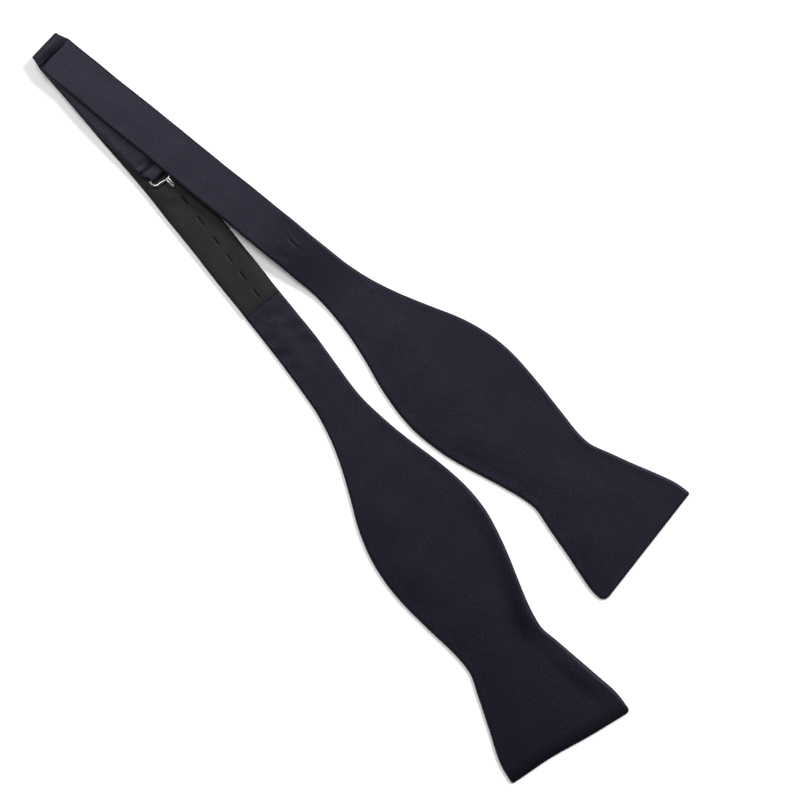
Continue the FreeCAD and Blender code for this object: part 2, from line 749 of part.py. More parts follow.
os.makedirs("parts", exist_ok=True)
for node in nodes:
    node.Shape.exportStep(os.path.join("parts", f"{node.Label}.step"))
    bounds = node.Shape.BoundBox
    print(f"{node.Label:24s} {node.Shape.Volume:9.1f} mm3  solids {len(node.Shape.Solids)}"
          f"  x {bounds.XMin:.1f} {bounds.XMax:.1f}  y {bounds.YMin:.1f} {bounds.YMax:.1f}"
          f"  z {bounds.ZMin:.2f} {bounds.ZMax:.2f}")

whole = FreeCAD.BoundBox()
for node in nodes:
    whole.add(node.Shape.BoundBox)
print(f"whole: x {whole.XMin:.2f} {whole.XMax:.2f}  y {whole.YMin:.2f} {whole.YMax:.2f}  z to {whole.ZMax:.2f}")
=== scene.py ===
import json
import math

import bmesh
import bpy
import numpy as np
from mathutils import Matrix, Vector


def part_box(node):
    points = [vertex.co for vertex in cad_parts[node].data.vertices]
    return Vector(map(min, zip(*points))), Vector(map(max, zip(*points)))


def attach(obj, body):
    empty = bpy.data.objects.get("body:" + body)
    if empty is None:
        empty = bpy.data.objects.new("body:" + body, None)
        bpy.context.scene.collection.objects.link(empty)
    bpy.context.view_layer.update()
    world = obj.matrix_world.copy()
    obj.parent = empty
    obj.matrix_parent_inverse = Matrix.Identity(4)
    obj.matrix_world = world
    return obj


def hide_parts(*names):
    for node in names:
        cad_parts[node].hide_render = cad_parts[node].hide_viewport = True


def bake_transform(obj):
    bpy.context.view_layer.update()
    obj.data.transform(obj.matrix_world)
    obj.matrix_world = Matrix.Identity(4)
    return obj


# The looks of an untied, adjustable satin bow tie that lies flat. Every length is in
# metres, in the frame's own axes: +X from the folded neck end to the blades, +Z up.

MM = 0.001
LEFT, RIGHT = 1, -1
UP = np.array([0.0, 0.0, 1.0])

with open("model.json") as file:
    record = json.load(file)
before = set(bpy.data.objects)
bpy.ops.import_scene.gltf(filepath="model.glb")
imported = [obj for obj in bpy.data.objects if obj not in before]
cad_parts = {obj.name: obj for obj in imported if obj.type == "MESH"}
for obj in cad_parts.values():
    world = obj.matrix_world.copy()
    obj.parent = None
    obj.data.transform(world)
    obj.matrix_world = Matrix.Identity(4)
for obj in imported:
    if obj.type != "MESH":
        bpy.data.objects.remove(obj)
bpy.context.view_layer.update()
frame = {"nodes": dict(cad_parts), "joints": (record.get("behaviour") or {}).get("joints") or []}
JOINTS = {joint["name"]: joint for joint in frame["joints"]}


# Shapes in numbers ----------------------------------------------------------------------

def rounded(x):
    """0 to 1 as a quarter circle that starts upright."""
    return np.sqrt(1 - (1 - np.clip(x, 0, 1)) ** 2)


def smooth(x):
    x = np.clip(x, 0, 1)
    return x * x * (3 - 2 * x)


def hill(x, width):
    return np.exp(-(x / width) ** 2)


def waves(x, longest, count, seed):
    """A gentle wander of about -1 to 1, from a few sine waves of uneven length."""
    draw = np.random.default_rng(seed)
    total = np.zeros_like(x)
    for i in range(count):
        length = longest / (1.0 + 0.8 * i + 0.3 * draw.random())
        total += np.sin(2 * math.pi * (x / length + draw.random())) / (1 + i)
    return total / 1.8


def noise_field(x, y, size, seed):
    """Smooth bumps of about -1 to 1 over a plane, a given size across."""
    draw = np.random.default_rng(seed)
    total = np.zeros_like(x)
    for i in range(9):
        turn = draw.random() * math.pi
        wave = size * (0.7 + 0.9 * draw.random())
        along = x * math.cos(turn) + y * math.sin(turn)
        total += np.sin(2 * math.pi * (along / wave + draw.random()))
    return total / 4


# Meshes ---------------------------------------------------------------------------------

def mesh_object(name, points, faces, uvs=None, crease=None):
    """A smooth mesh piece. Its last argument gives, from 0 to 1 at each point, how much painted
    shade darkens its cloth: deep in seams, under other layers and in hollows, where little light gets in."""
    mesh = bpy.data.meshes.new(name)
    mesh.from_pydata([tuple(p) for p in points], [], faces)
    mesh.update()
    if uvs is not None:
        layer = mesh.uv_layers.new(name="UVMap")
        corner_points = np.zeros(len(mesh.loops), np.int32)
        mesh.loops.foreach_get("vertex_index", corner_points)
        layer.data.foreach_set("uv", np.asarray(uvs, np.float32)[corner_points].ravel())
    # Painted shade, kept on the mesh for its material to darken the colour with.
    if crease is not None:
        mesh.attributes.new("crease", "FLOAT", "POINT").data.foreach_set("value", crease.ravel())
    mesh.polygons.foreach_set("use_smooth", [True] * len(mesh.polygons))
    piece = bpy.data.objects.new(name, mesh)
    bpy.context.scene.collection.objects.link(piece)
    return piece


def grid_object(name, points, uvs, upward=True, keep=None, crease=None):
    """A sheet from rows and columns of points; keep marks the quads that are there."""
    rows, columns = points.shape[:2]
    faces = []
    for i in range(rows - 1):
        for j in range(columns - 1):
            if keep is not None and not keep[i, j]:
                continue
            corner = i * columns + j
            quad = (corner, corner + columns, corner + columns + 1, corner + 1)
            faces.append(quad if upward else quad[::-1])
    return mesh_object(name, points.reshape(-1, 3), faces, uvs.reshape(-1, 2), crease)


def tube_faces(rows, columns):
    """Faces of a closed tube: rings of points joined one to the next, and both ends covered."""
    faces = [tuple(range(columns))[::-1], tuple(range((rows - 1) * columns, rows * columns))]
    for start in range(0, (rows - 1) * columns, columns):
        for j in range(columns):
            k = (j + 1) % columns
            faces.append((start + j, start + k, start + columns + k, start + columns + j))
    return faces


def bar(centres, across, up, widths, heights, sides=16, squareness=0.6):
    """Points, faces and UVs of a closed bar of rounded oblong section along a line."""
    centres = np.asarray(centres, float)
    count = len(centres)
    across, up = np.broadcast_to(across, (count, 3)), np.broadcast_to(up, (count, 3))
    half_widths = np.broadcast_to(widths, count)[:, None] / 2
    half_heights = np.broadcast_to(heights, count)[:, None] / 2
    angles = np.linspace(0, 2 * math.pi, sides, endpoint=False)
    wide = np.sign(np.cos(angles)) * np.abs(np.cos(angles)) ** squareness
    high = np.sign(np.sin(angles)) * np.abs(np.sin(angles)) ** squareness
    points = (centres[:, None] + across[:, None] * (wide * half_widths)[..., None]
              + up[:, None] * (high * half_heights)[..., None])
    run = np.broadcast_to(run_lengths(centres)[:, None], (count, sides))
    uvs = np.dstack([run, wide * half_widths + high * half_heights])
    return points.reshape(-1, 3), tube_faces(count, sides), uvs.reshape(-1, 2)


def joined(name, parts):
    """One mesh object from several lots of points, faces and UVs."""
    points, faces, uvs = [], [], []
    base = 0
    for part_points, part_faces, part_uvs in parts:
        points.append(part_points)
        uvs.append(part_uvs)
        faces += [tuple(i + base for i in face) for face in part_faces]
        base += len(part_points)
    return mesh_object(name, np.concatenate(points), faces, np.concatenate(uvs))


def thicken(piece, thickness, inward=-1):
    """Gives a sheet its cloth thickness, on the side away from its face."""
    modifier = piece.modifiers.new("Thickness", "SOLIDIFY")
    modifier.thickness = thickness
    modifier.offset = inward
    modifier.use_even_offset = False
    apply_modifiers(piece)


def apply_modifiers(piece):
    graph = bpy.context.evaluated_depsgraph_get()
    finished = bpy.data.meshes.new_from_object(piece.evaluated_get(graph))
    piece.modifiers.clear()
    piece.data = finished


# Reading the frame ----------------------------------------------------------------------

ACROSS = np.array([0.0, 1.0])
END_EDGE = 15 * MM


def unit(vector):
    return vector / np.linalg.norm(vector)


def border_edges(node, facing):
    """Border edges, seen from above, of a node's faces that face up (1) or down (-1)."""
    mesh = frame["nodes"][node].data
    uses = {}
    for polygon in mesh.polygons:
        if polygon.normal.z * facing < 0.5:
            continue
        keys = [tuple(round(c, 6) for c in mesh.vertices[i].co.xy) for i in polygon.vertices]
        for pair in zip(keys, keys[1:] + keys[:1]):
            edge = frozenset(pair)
            uses[edge] = uses.get(edge, 0) + 1
    return [tuple(edge) for edge, count in uses.items() if count == 1 and len(edge) == 2]


def closed_loops(edges):
    """The closed lines that the edges make, each as its points in order, longest first."""
    beside = {}
    for a, b in edges:
        beside.setdefault(a, []).append(b)
        beside.setdefault(b, []).append(a)
    loops = []
    left_over = set(beside)
    while left_over:
        here = next(iter(sorted(left_over)))
        loop = []
        while here in left_over:
            left_over.remove(here)
            loop.append(here)
            following = [p for p in beside[here] if p in left_over]
            here = following[0] if following else None
        loops.append(np.array(loop))
    return sorted(loops, key=lambda loop: -np.ptp(loop, axis=0).max())


def run_lengths(points):
    return np.concatenate([[0], np.cumsum(np.linalg.norm(np.diff(points, axis=0), axis=-1))])


def two_sides(loop):
    """Parts an outline into its left and right sides, both from its -X to its +X end."""
    steps = np.roll(loop, -1, axis=0) - loop
    lengths = np.linalg.norm(steps, axis=1)
    crosswise = (np.abs(steps @ ACROSS) > 0.95 * lengths) & (lengths > END_EDGE)
    ends = np.flatnonzero(crosswise)
    near, far = ends[np.argmin(loop[ends, 0])], ends[np.argmax(loop[ends, 0])]
    order = np.roll(np.arange(len(loop)), -(near + 1))
    cut = int(np.flatnonzero(order == far)[0])
    one, other = loop[order[:cut + 1]], loop[order[cut + 1:][::-1]]
    first_is_left = (one.mean(0) - other.mean(0)) @ ACROSS > 0
    return {LEFT: one if first_is_left else other, RIGHT: other if first_is_left else one}


def joint_place(name):
    return np.array(JOINTS[name]["pos_m"])


class Half:
    """One half of the tie as it lies, read from its CAD nodes. A place along it is a
    number from 0, the far neck end, through 1, the waist, to 2, the end edge."""

    def __init__(self, name):
        self.name = name
        self.waist = joint_place(f"{name}_waist_fold")[:2]
        self.left = -np.array(JOINTS[f"{name}_waist_fold"]["axis"][:2])
        self.forward = np.array([self.left[1], -self.left[0]])
        backs = (f"{name}_back_shell", f"{name}_tip_back_shell")
        edges = [edge for node in backs for edge in border_edges(node, -1)]
        outside = [e for e in edges if not all(self.on_waist(np.array(p)) for p in e)]
        self.sides = two_sides(closed_loops(outside)[0])
        self.read_lift(backs)
        self.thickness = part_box(f"{name}_tip_front_shell")[1].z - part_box(f"{name}_tip_back_shell")[0].z

    def on_waist(self, point):
        return abs((point - self.waist) @ self.forward) < 0.02 * MM

    def read_lift(self, nodes):
        """How high the underside lies at each distance along the half."""
        found = {}
        for node in nodes:
            mesh = frame["nodes"][node].data
            for polygon in mesh.polygons:
                if polygon.normal.z > -0.5:
                    continue
                for i in polygon.vertices:
                    point = np.array(mesh.vertices[i].co)
                    found[round((point[:2] - self.waist) @ self.forward, 4)] = point[2]
        self.lift_at = np.array(sorted(found))
        self.lift_heights = np.array([found[k] for k in self.lift_at])

    def lift(self, points):
        along = (points - self.waist) @ self.forward
        return np.interp(along, self.lift_at, self.lift_heights)

    def side(self, side, places):
        points = self.sides[side]
        run = run_lengths(points)
        waist = run[np.argmin(np.abs((points - self.waist) @ self.forward))]
        marks = np.where(run <= waist, run / waist, 1 + (run - waist) / (run[-1] - waist))
        return np.stack([np.interp(places, marks, points[:, i]) for i in (0, 1)], -1)

    def lengths(self):
        """Real length from neck to waist and from waist to end edge."""
        stops = np.array([0.0, 1.0, 2.0])
        middle = (self.side(LEFT, stops) + self.side(RIGHT, stops)) / 2
        return np.linalg.norm(np.diff(middle, axis=0), axis=1)


# Materials ------------------------------------------------------------------------------

class Shader:
    """A node material with its Principled shader, and short ways to add to it."""

    def __init__(self, name):
        self.material = bpy.data.materials.new(name)
        self.material.use_nodes = True
        self.nodes = self.material.node_tree.nodes
        self.links = self.material.node_tree.links
        self.surface = self.nodes["Principled BSDF"]

    def add(self, kind, **settings):
        node = self.nodes.new(kind)
        for key, value in settings.items():
            if hasattr(node, key):
                setattr(node, key, value)
            else:
                node.inputs[key].default_value = value
        return node

    def link(self, source, output, target, socket):
        self.links.new(source.outputs[output], target.inputs[socket])

    def set(self, **values):
        for socket, value in values.items():
            self.surface.inputs[socket.replace("_", " ")].default_value = value

    def scaled_uv(self, along, across, turn=0.0):
        """The cloth's own lengths, counted in threads of a given pitch."""
        place = self.add("ShaderNodeUVMap", uv_map="UVMap")
        mapping = self.add("ShaderNodeMapping")
        mapping.inputs["Scale"].default_value = (1 / along, 1 / across, 1)
        mapping.inputs["Rotation"].default_value = (0, 0, turn)
        self.link(place, "UV", mapping, "Vector")
        return mapping

    def texture(self, kind, place, output="Vector", scale=1.0, **settings):
        """A texture laid out by a node that gives places, such as one from scaled_uv."""
        node = self.add(f"ShaderNodeTex{kind}", Scale=scale, **settings)
        self.link(place, output, node, "Vector")
        return node

    def range_to(self, socket, source, low, high):
        """Takes a shader socket from low to high as a node's Fac goes from 0 to 1."""
        span = self.add("ShaderNodeMapRange")
        span.inputs["To Min"].default_value = low
        span.inputs["To Max"].default_value = high
        self.link(source, "Fac", span, "Value")
        self.link(span, "Result", self.surface, socket)

    def ramp(self, source, output, stops):
        ramp = self.add("ShaderNodeValToRGB")
        while len(ramp.color_ramp.elements) < len(stops):
            ramp.color_ramp.elements.new(0.5)
        for element, (place, colour) in zip(ramp.color_ramp.elements, stops):
            element.position = place
            element.color = (*colour, 1)
        self.link(source, output, ramp, "Fac")
        return ramp

    def multiplied(self, base, tint):
        """One ramp's colour times another's."""
        mix = self.add("ShaderNodeMix", data_type="RGBA", blend_type="MULTIPLY")
        mix.inputs["Factor"].default_value = 1.0
        self.link(base, "Color", mix, 6)
        self.link(tint, "Color", mix, 7)
        return mix

    def bumps(self, layers):
        """Stacks (node, output, strength, depth) as bumps, finest last."""
        last = None
        for node, output, strength, depth in layers:
            bump = self.add("ShaderNodeBump", Strength=strength, Distance=depth)
            self.link(node, output, bump, "Height")
            if last is not None:
                self.link(last, "Normal", bump, "Normal")
            last = bump
        self.link(last, "Normal", self.surface, "Normal")


SATIN_SHINE = 0.24


def satin(name, colour, tint):
    """Polyester satin: long floats along the cloth, soft sheen and a fine uneven grain, with painted shade
    from a mesh attribute.
    """
    shader = Shader(name)
    floats = shader.texture("Noise", shader.scaled_uv(1.1 * MM, 0.16 * MM), Detail=3.0, Roughness=0.65)
    grain = shader.texture("Noise", shader.scaled_uv(0.95 * MM, 0.8 * MM), Detail=2.0, Roughness=0.75)
    cloud = shader.texture("Noise", shader.scaled_uv(14 * MM, 14 * MM), Detail=3.0, Roughness=0.5)
    warp = shader.texture("Wave", shader.scaled_uv(0.34 * MM, 0.34 * MM, math.radians(45)),
                          Distortion=1.2, Detail=1.0)
    dark = tuple(c * 0.3 for c in colour)
    base = shader.ramp(grain, "Fac", [(0.36, dark), (0.5, colour), (0.64, tint)])
    clouds = shader.ramp(cloud, "Fac", [(0.3, (0.86, 0.86, 0.87)), (0.7, (1.12, 1.12, 1.1))])
    toned = shader.multiplied(base, clouds)
    # Painted shade: a mesh attribute darkens the colour down to 8% and takes away the specular shine.
    crease = shader.add("ShaderNodeAttribute", attribute_name="crease")
    shaded = shader.add("ShaderNodeMix", data_type="RGBA", blend_type="MULTIPLY")
    shaded.inputs[7].default_value = (0.08, 0.08, 0.08, 1)
    shader.link(crease, "Fac", shaded, "Factor")
    shader.link(toned, 2, shaded, 6)
    shader.link(shaded, 2, shader.surface, "Base Color")
    shader.range_to("Specular IOR Level", crease, SATIN_SHINE, 0.0)
    shader.range_to("Roughness", floats, 0.4, 0.56)
    shader.set(Sheen_Weight=0.05, Sheen_Roughness=0.3, Sheen_Tint=(0.7, 0.7, 0.95, 1),
               Specular_Tint=(0.75, 0.75, 1.0, 1), Anisotropic=0.3)
    shader.bumps([(cloud, "Fac", 0.2, 0.5 * MM), (grain, "Fac", 0.6, 0.1 * MM),
                  (floats, "Fac", 0.4, 0.05 * MM), (warp, "Fac", 0.2, 0.03 * MM)])
    return shader.material


def ribbon(name):
    """Matt black plain-woven tape with fine cross ribs."""
    shader = Shader(name)
    ribs = shader.texture("Wave", shader.scaled_uv(0.42 * MM, 0.42 * MM),
                          scale=0.35, Distortion=0.6, Detail=1.0)
    flecks = shader.texture("Noise", shader.scaled_uv(0.8 * MM, 0.5 * MM), Detail=3.0, Roughness=0.6)
    cloud = shader.texture("Noise", shader.scaled_uv(22 * MM, 11 * MM), Detail=2.0, Roughness=0.5)
    base = shader.ramp(flecks, "Fac", [(0.3, (0.0026, 0.0026, 0.0028)), (0.7, (0.006, 0.006, 0.0064))])
    clouds = shader.ramp(cloud, "Fac", [(0.35, (0.7, 0.7, 0.73)), (0.65, (1.3, 1.3, 1.27))])
    toned = shader.multiplied(base, clouds)
    shader.link(toned, 2, shader.surface, "Base Color")
    shader.set(Roughness=0.62, Sheen_Weight=0.06, Sheen_Roughness=0.5, Specular_IOR_Level=0.2)
    shader.bumps([(cloud, "Fac", 0.3, 0.8 * MM), (flecks, "Fac", 0.25, 0.06 * MM),
                  (ribs, "Fac", 0.35, 0.05 * MM)])
    return shader.material


def canvas(name):
    """Off-white brushed interlining."""
    shader = Shader(name)
    place = shader.scaled_uv(0.6 * MM, 0.6 * MM)
    threads = shader.texture("Wave", place, scale=0.4, Distortion=2.0, Detail=2.0)
    fuzz = shader.texture("Noise", place, scale=1.5, Detail=5.0, Roughness=0.7)
    base = shader.ramp(fuzz, "Fac", [(0.3, (0.5, 0.47, 0.41)), (0.7, (0.68, 0.65, 0.58))])
    shader.link(base, "Color", shader.surface, "Base Color")
    shader.set(Roughness=0.9, Sheen_Weight=0.3, Specular_IOR_Level=0.2)
    shader.bumps([(threads, "Fac", 0.4, 0.1 * MM), (fuzz, "Fac", 0.3, 0.1 * MM)])
    return shader.material


def thread(name, colour):
    """Twisted sewing thread."""
    shader = Shader(name)
    twist = shader.texture("Wave", shader.scaled_uv(0.35 * MM, 0.35 * MM, math.radians(35)),
                           scale=0.5, Distortion=0.3)
    dark = tuple(c * 0.5 for c in colour)
    base = shader.ramp(twist, "Fac", [(0.2, dark), (0.8, colour)])
    shader.link(base, "Color", shader.surface, "Base Color")
    shader.set(Roughness=0.75, Sheen_Weight=0.05, Specular_IOR_Level=0.15)
    shader.bumps([(twist, "Fac", 0.5, 0.04 * MM)])
    return shader.material


def plated_metal(name):
    """Dull silver plating with fine scratches and slight tarnish."""
    shader = Shader(name)
    place = shader.add("ShaderNodeTexCoord")
    stretched = shader.add("ShaderNodeMapping")
    stretched.inputs["Scale"].default_value = (400, 2500, 400)
    shader.link(place, "Object", stretched, "Vector")
    scratches = shader.texture("Noise", stretched, Detail=4.0, Roughness=0.6)
    tarnish = shader.texture("Noise", place, "Object", 260.0, Detail=3.0, Roughness=0.55)
    base = shader.ramp(tarnish, "Fac", [(0.35, (0.13, 0.128, 0.12)), (0.65, (0.3, 0.3, 0.285))])
    shader.link(base, "Color", shader.surface, "Base Color")
    shader.range_to("Roughness", scratches, 0.18, 0.32)
    shader.set(Metallic=1.0)
    shader.bumps([(scratches, "Fac", 0.08, 0.02 * MM)])
    return shader.material


NAVY = (0.002, 0.002, 0.0055)
NAVY_TINT = (0.0083, 0.008, 0.0164)
satin_cloth = satin("NavySatin", NAVY, NAVY_TINT)
black_ribbon = ribbon("BlackRibbon")
interlining_cloth = canvas("Interlining")
navy_thread = thread("NavyThread", (0.012, 0.012, 0.022))
black_thread = thread("BlackThread", (0.01, 0.01, 0.0105))
silver = plated_metal("DullSilver")


def dress(piece, material):
    piece.data.materials.clear()
    piece.data.materials.append(material)


# The two halves -------------------------------------------------------------------------

CLOTH = 0.32 * MM
FLOOR_GAP = 0.03 * MM
ROLL = 1.5 * MM
BAND_STEP = 1.5 * MM
FINE_STEP = 0.5 * MM
SEAM_SHARE = 0.4
# How much painted shade darkens the rolled edges and dulls their shine.
RIM_PAINTED_SHADE = 0.5
CORE_THICKNESS = 0.5 * MM
END_SWAY = 1.1 * MM
NECK_SWAY = 0.5 * MM
SWAY_REACH = 9 * MM
EDGE_WANDER = 0.16 * MM
CORE_INSET = 3 * MM
LEFT_MARGIN = 6 * MM
END_ROLL = 6.5 * MM
END_DROP = 0.4 * MM


def spaced(start, stop, step, fine_start=0.0, fine_stop=0.0):
    """Evenly spaced places, closer together over a stretch at either end."""
    count = max(2, round((stop - start - fine_start - fine_stop) / step))
    parts = [np.linspace(start + fine_start, stop - fine_stop, count + 1)]
    if fine_start:
        parts.insert(0, np.linspace(start, start + fine_start, round(fine_start / FINE_STEP) + 1)[:-1])
    if fine_stop:
        parts.append(np.linspace(stop - fine_stop, stop, round(fine_stop / FINE_STEP) + 1)[1:])
    return np.concatenate(parts)


def half_places(half):
    """Places along a half, closer together at its ends and at the waist."""
    body, tip = half.lengths()
    fold = 6 * MM
    to_waist = spaced(0, body, BAND_STEP, 4 * MM, fold) / body
    to_end = spaced(0, tip, BAND_STEP, fold, 7 * MM) / tip
    return np.concatenate([to_waist, 1 + to_end[1:]])


def across_places(count=56):
    """From -1 at the right edge to 1 at the left, closer together near the edges."""
    even = np.linspace(-1, 1, count + 1)
    return 0.45 * even + 0.55 * np.sin(even * math.pi / 2)


class Lay:
    """Where every point of a half's cloth lies, seen from above, before its depth is given."""

    def __init__(self, half):
        self.half = half
        self.places = half_places(half)
        self.t = across_places()
        left, right = half.side(LEFT, self.places), half.side(RIGHT, self.places)
        middle = (left + right) / 2
        run = run_lengths(middle)
        left = left + half.left * (waves(run, 70 * MM, 4, 3) * EDGE_WANDER)[:, None]
        right = right + half.left * (waves(run, 64 * MM, 4, 5) * EDGE_WANDER)[:, None]
        share = (1 + self.t)[None, :, None] / 2
        self.plan = left[:, None] * share + right[:, None] * (1 - share)
        self.half_width = np.linalg.norm(left - right, axis=1) / 2
        self.run = np.broadcast_to(run[:, None], self.plan.shape[:2])
        self.to_end = run[-1] - self.run
        self.offset = self.t[None] * self.half_width[:, None]
        self.beside = (1 - np.abs(self.t))[None] * self.half_width[:, None]
        self.to_edge = self.nearest(self.beside, self.to_end)
        self.to_edge = self.nearest(self.to_edge, 3 * self.run)
        self.lift = half.lift(self.plan)
        self.uv = np.dstack([self.run, self.offset])

    def sway(self, across, distance):
        """Lets an edge that runs across the half wander, by an amount for each column,
        fading out with the distance from the edge."""
        shift = across[None] * smooth(1 - distance / SWAY_REACH)
        self.plan = self.plan + shift[..., None] * self.half.forward

    @staticmethod
    def nearest(a, b):
        """The smaller of two distances, rounded off where they are alike."""
        blend = 1.2 * MM
        share = np.clip(0.5 + 0.5 * (b - a) / blend, 0, 1)
        near = b * (1 - share) + a * share - blend * share * (1 - share)
        return np.clip(near, 0, None)


def pressed_top(lay):
    """Height of the front above the underside: rolled edges, the ridge of the turned-in
    allowances, a soft valley inside it and a slight puff over the interlining."""
    thickness = lay.half.thickness
    seam = SEAM_SHARE * thickness
    edge = lay.to_edge
    wide = smooth((lay.half_width - 13 * MM) / (10 * MM))[:, None]
    top = seam + (thickness - seam) * rounded(edge / ROLL)
    top -= 0.05 * MM * wide * hill(edge - 5.2 * MM, 2.4 * MM)
    top += 0.16 * MM * smooth((edge - 4 * MM) / (16 * MM))
    soft = smooth(edge / (5 * MM))
    top += 0.10 * MM * noise_field(lay.plan[..., 0], lay.plan[..., 1], 26 * MM, 11) * soft
    top += 0.03 * MM * noise_field(lay.plan[..., 0], lay.plan[..., 1], 8 * MM, 12) * soft
    return top


def groove(lay, start, stop, depth, width):
    """A short fold line from one (run, offset) to another, with a soft ridge on its left."""
    line = np.array(stop) - np.array(start)
    length = np.linalg.norm(line)
    along = ((lay.run - start[0]) * line[0] + (lay.offset - start[1]) * line[1]) / length
    aside = (-(lay.run - start[0]) * line[1] + (lay.offset - start[1]) * line[0]) / length
    bow = 0.12 * length * (1 - (2 * along / length - 1) ** 2)
    fade = smooth(along / (0.3 * length)) * smooth((length - along) / (0.3 * length))
    aside = aside + bow
    return depth * fade * (0.8 * hill(aside - 1.4 * width, width) - hill(aside, 0.7 * width))


def dent(lay, place, depth, length, width):
    return -depth * hill(lay.run - place[0], length) * hill(lay.offset - place[1], width)


def short_details(lay):
    """Small creases in the short half's neck band."""
    total = groove(lay, (157 * MM, 5.4 * MM), (171 * MM, 2.6 * MM), depth=0.34 * MM, width=0.9 * MM)
    total += dent(lay, (166.5 * MM, -6.8 * MM), depth=0.3 * MM, length=2.2 * MM, width=1.8 * MM)
    total += dent(lay, (160 * MM, -3.5 * MM), depth=-0.18 * MM, length=1.5 * MM, width=1.5 * MM)
    return total


def ridge(lay, from_end, length, height, crest, foot):
    """A raised left edge over part of a blade, falling from its crest to its foot, both
    given as distances from the edge."""
    along = hill(lay.to_end - from_end, length) * smooth(lay.offset / LEFT_MARGIN)
    return height * along * (1 - smooth((lay.beside - crest) / (foot - crest)))


def long_details(lay):
    """Crumples where the long half's band leaves the tape, soft ridges along the left of
    its blade and an end edge that rolls under."""
    total = 0.13 * MM * noise_field(lay.run, lay.offset, 9 * MM, 4) * hill(lay.run - 198 * MM, 26 * MM)
    total += ridge(lay, from_end=112 * MM, length=36 * MM, height=0.3 * MM, crest=2 * MM, foot=9 * MM)
    total += ridge(lay, from_end=70 * MM, length=9 * MM, height=0.45 * MM, crest=1.5 * MM, foot=12 * MM)
    total += ridge(lay, from_end=26 * MM, length=15 * MM, height=0.55 * MM, crest=4 * MM, foot=14 * MM)
    total -= END_DROP * np.clip(1 - lay.to_end / END_ROLL, 0, 1) ** 2
    return total


def painted_shade_under_tape(lay):
    """1 where the tape covers the long half's satin, and 0 elsewhere: painted shade on the satin under it.
    """
    low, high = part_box("slotted_tape")
    x = lay.plan[..., 0]
    along = smooth((x - low.x) / (2 * MM)) * smooth((high.x - 3 * MM - x) / (2 * MM))
    return along * smooth(lay.beside / (1.5 * MM) - 1)


def painted_shade_hollows(lay):
    """How much painted shade darkens the satin and takes its shine inside the ridges and on the end edge's
    roll.
    """
    left = smooth(lay.offset / LEFT_MARGIN)
    waist = 0.42 * hill(lay.to_end - 74 * MM, 15 * MM) * hill(lay.beside - 8 * MM, 6 * MM)
    belly = 0.22 * hill(lay.to_end - 104 * MM, 30 * MM) * hill(lay.beside - 6 * MM, 4 * MM)
    flare = 0.3 * hill(lay.to_end - 32 * MM, 22 * MM) * hill(lay.beside - 9 * MM, 3.4 * MM)
    rolled = 0.6 * np.clip(1 - lay.to_end / (9 * MM), 0, 1)
    return np.maximum(left * (waist + belly + flare), rolled)


def painted_neck_seam_shade(lay):
    """Painted deep shade at the band's neck edge, where it is sewn over the extension."""
    return 0.8 * hill(lay.run, 0.5 * MM)


def half_pieces(lay, details, crease):
    """Front, back and interlining of a half, each one piece from neck to end edge."""
    half = lay.half
    name = half.name
    seam = SEAM_SHARE * half.thickness
    top = lay.lift + pressed_top(lay) + details * smooth(lay.to_edge / (2 * MM))
    under_roll = 1 - rounded(lay.to_edge / (0.8 * ROLL))
    bottom = lay.lift + FLOOR_GAP + (seam - FLOOR_GAP) * under_roll
    # Painted shade along the rolled edges, darkening them and dulling their shine.
    crease = np.maximum(crease, RIM_PAINTED_SHADE * np.clip(1 - lay.to_edge / ROLL, 0, 1))
    front = grid_object(f"{name}_front_satin", np.dstack([lay.plan, top]), lay.uv, crease=crease)
    back = grid_object(f"{name}_back_satin", np.dstack([lay.plan, bottom]), lay.uv, upward=False)
    thicken(front, CLOTH)
    thicken(back, CLOTH)
    core = interlining(lay, (top + bottom) / 2)
    for piece, kind, material, slot in ((front, "front_shell", satin_cloth, "satin"),
                                        (back, "back_shell", satin_cloth, "satin"),
                                        (core, "interlining", interlining_cloth, "interlining")):
        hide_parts(f"{name}_{kind}", f"{name}_tip_{kind}")
        bend_at_waist(piece)
        dress(piece, material)


def interlining(lay, height):
    """The layer inside, which stops short of the edges."""
    reach = np.clip(lay.half_width - CORE_INSET, 1 * MM, None) / lay.half_width
    middle = (lay.plan[:, :1] + lay.plan[:, -1:]) / 2
    plan = middle + (lay.plan - middle) * reach[:, None, None]
    level = np.stack([np.interp(lay.t * r, lay.t, h) for r, h in zip(reach, height)])
    kept = (lay.run[:, 0] > CORE_INSET) & (lay.to_end[:, 0] > CORE_INSET)
    cloth = np.dstack([plan, level])[kept][:, ::4]
    piece = grid_object(f"{lay.half.name}_interlining_canvas", cloth, lay.uv[kept][:, ::4])
    thicken(piece, CORE_THICKNESS, inward=0)
    return piece


def bend_at_waist(piece):
    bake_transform(piece)


# The slotted tape -----------------------------------------------------------------------

TAPE_THICKNESS = 0.35 * MM
TAPE_LEVEL = 0.72 * MM
TAPE_STEP = 0.5 * MM
SLIT_OPENING = 0.32 * MM
CLOSED = 0.01 * MM
STEM_EYE = 1.1 * MM
HEM_DROP = 0.22 * MM
HEAD_BUMP = 1.02 * MM
PULL_RIPPLE = 0.22 * MM
WAVINESS = 0.1 * MM


